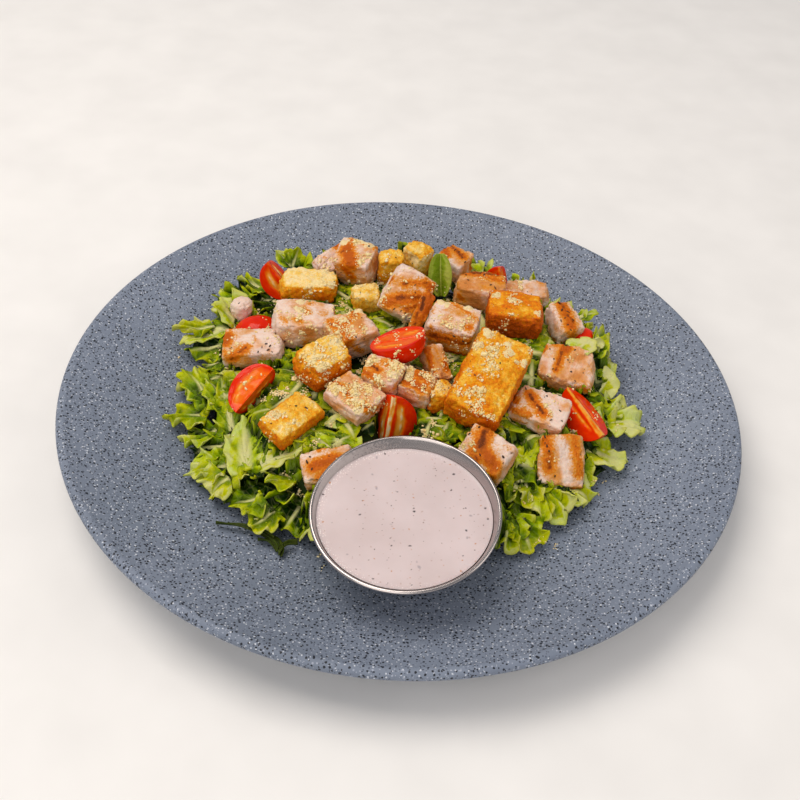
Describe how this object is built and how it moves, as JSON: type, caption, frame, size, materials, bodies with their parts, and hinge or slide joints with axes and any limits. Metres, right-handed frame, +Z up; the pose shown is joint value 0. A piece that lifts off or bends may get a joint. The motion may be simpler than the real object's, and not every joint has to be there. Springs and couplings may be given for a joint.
{
  "type": "caesar salad",
  "caption": "Caesar salad heaped on a round stone-grey coupe plate: lettuce, grilled chicken, croutons, cherry tomatoes and parmesan, with a steel cup of dressing.",
  "frame": {"origin": "middle of the plate's foot, on the table", "axes": "+Z up; +Y away from the diner, so the sauce cup is on the -Y side; +X to the diner's right"},
  "size_m": [0.28, 0.28, 0.0562],
  "materials": {
    "glaze": "satin grey glaze with fine dark and light specks",
    "steel": "thin spun stainless steel, lightly brushed",
    "dressing": "thick smooth cream with pepper specks",
    "lettuce": "crisp frilly leaf, pale at the ribs",
    "spinach": "smooth green leaf",
    "herb": "dark limp leaf",
    "chicken": "moist cooked meat with browned stripes",
    "crouton": "dry toasted crumb",
    "tomato": "wet glossy skin and flesh"
  },
  "bodies": {
    "root": {"plate": "glaze", "sauce_cup": "steel", "dressing": "dressing", "lettuce": "lettuce", "spinach_leaf": "spinach", "herb_leaf": "herb", "chicken_01": "chicken", "chicken_02": "chicken", "chicken_03": "chicken", "chicken_04": "chicken", "chicken_05": "chicken", "chicken_06": "chicken", "chicken_07": "chicken", "chicken_08": "chicken", "chicken_09": "chicken", "chicken_10": "chicken", "chicken_11": "chicken", "chicken_12": "chicken", "chicken_13": "chicken", "chicken_14": "chicken", "chicken_15": "chicken", "chicken_16": "chicken", "chicken_17": "chicken", "chicken_18": "chicken", "chicken_19": "chicken", "chicken_20": "chicken", "chicken_21": "chicken", "chicken_22": "chicken", "crouton_01": "crouton", "crouton_02": "crouton", "crouton_03": "crouton", "crouton_04": "crouton", "crouton_05": "crouton", "crouton_06": "crouton", "crouton_07": "crouton", "crouton_08": "crouton", "crouton_09": "crouton", "tomato_01": "tomato", "tomato_02": "tomato", "tomato_03": "tomato", "tomato_04": "tomato", "tomato_05": "tomato", "tomato_06": "tomato", "tomato_07": "tomato", "tomato_08": "tomato"}
  },
  "joints": []
}
